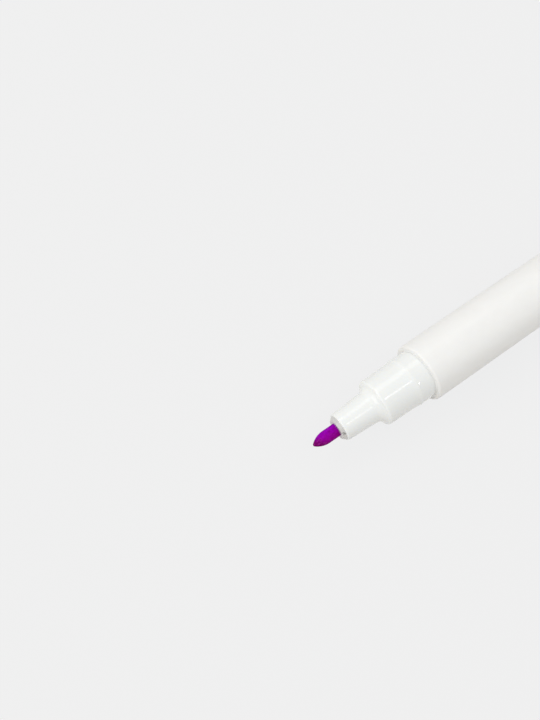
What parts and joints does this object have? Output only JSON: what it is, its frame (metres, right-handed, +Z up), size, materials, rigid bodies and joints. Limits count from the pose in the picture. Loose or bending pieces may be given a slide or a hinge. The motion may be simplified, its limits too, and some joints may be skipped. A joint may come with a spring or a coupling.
{
  "type": "double-ended marker",
  "caption": "Double-ended marker: white tube barrel, stepped nose with a purple bullet nib, fine tip under a pull-off cap, and the other cap posted on its end plug.",
  "frame": {"origin": "on the marker's axis, half way along the barrel", "axes": "+X along the axis from the broad nib to the posted cap, +Z up, the marker lying on its side"},
  "size_m": [0.1553, 0.01, 0.01],
  "materials": {
    "barrel_white": "satin moulded polypropylene",
    "nose_white": "glossy moulded polypropylene",
    "nib_fibre": "bonded fibre soaked in purple ink",
    "sleeve_steel": "drawn stainless tube",
    "fine_tip": "ink-stained acetal tip",
    "reservoir_fibre": "polyester fibre soaked in ink",
    "reservoir_film": "clear wrapping film",
    "cap_white": "satin moulded polypropylene",
    "seal_white": "soft moulded polyethylene",
    "plug_purple": "ink-coloured moulded polypropylene"
  },
  "bodies": {
    "marker": {"barrel": "barrel_white", "front_nose": "nose_white", "front_nib": "nib_fibre", "rear_nose": "nose_white", "rear_nib_sleeve": "sleeve_steel", "rear_nib": "fine_tip", "ink_reservoir": "reservoir_fibre", "reservoir_film": "reservoir_film"},
    "rear_cap": {"rear_cap": "cap_white", "rear_cap_seal": "seal_white", "rear_cap_plug": "plug_purple"},
    "front_cap": {"front_cap": "cap_white", "front_cap_seal": "seal_white", "front_cap_plug": "plug_purple"}
  },
  "joints": [
    {"name": "rear_cap_pull", "type": "slide", "parent": "marker", "child": "rear_cap", "axis": [1, 0, 0], "range_m": [0, 0.02]},
    {"name": "front_cap_pull", "type": "slide", "parent": "rear_cap", "child": "front_cap", "axis": [1, 0, 0], "range_m": [0, 0.01]}
  ]
}
